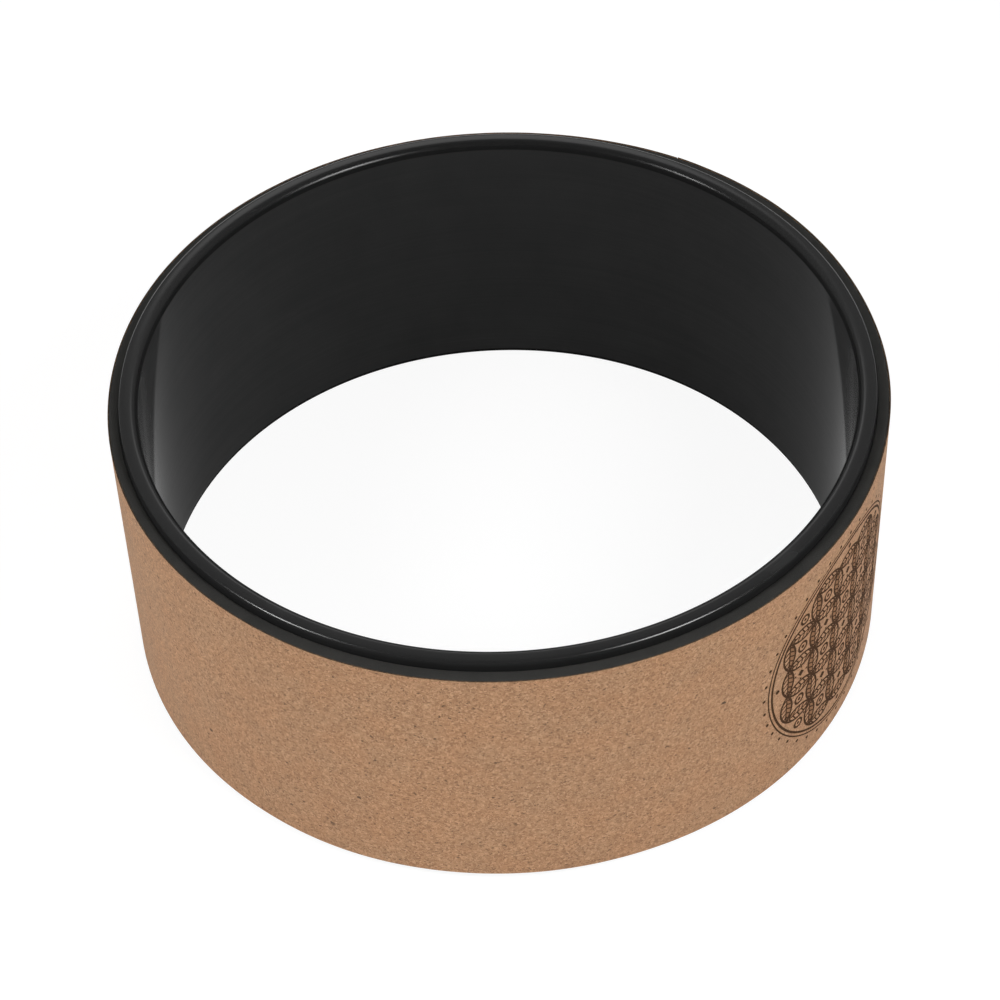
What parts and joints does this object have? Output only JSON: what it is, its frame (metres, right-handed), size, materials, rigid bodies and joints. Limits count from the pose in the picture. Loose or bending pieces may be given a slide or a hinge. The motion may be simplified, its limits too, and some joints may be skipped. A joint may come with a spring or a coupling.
{
  "type": "yoga wheel",
  "caption": "Wide hollow wheel for yoga: a rigid plastic hoop with rounded rims, wrapped in foam and a thin cork tread, used under the back to stretch and balance.",
  "frame": {"origin": "centre of the wheel's axis at the surface that the lower rim rests on", "axes": "+Z along the wheel's axis, up; +X to the right and +Y away from the camera in the picture"},
  "size_m": [0.325, 0.325, 0.13],
  "materials": {
    "hoop_plastic": "black moulded plastic, semi-gloss",
    "foam": "black closed-cell elastomer foam, matt",
    "adhesive": "clear yellowish adhesive film",
    "cork": "fine-grained agglomerated cork, matt, with a dark brown print"
  },
  "bodies": {
    "root": {"core_hoop": "hoop_plastic", "foam_bond": "adhesive", "foam_layer": "foam", "cork_bond": "adhesive", "cork_cover": "cork"}
  },
  "joints": []
}
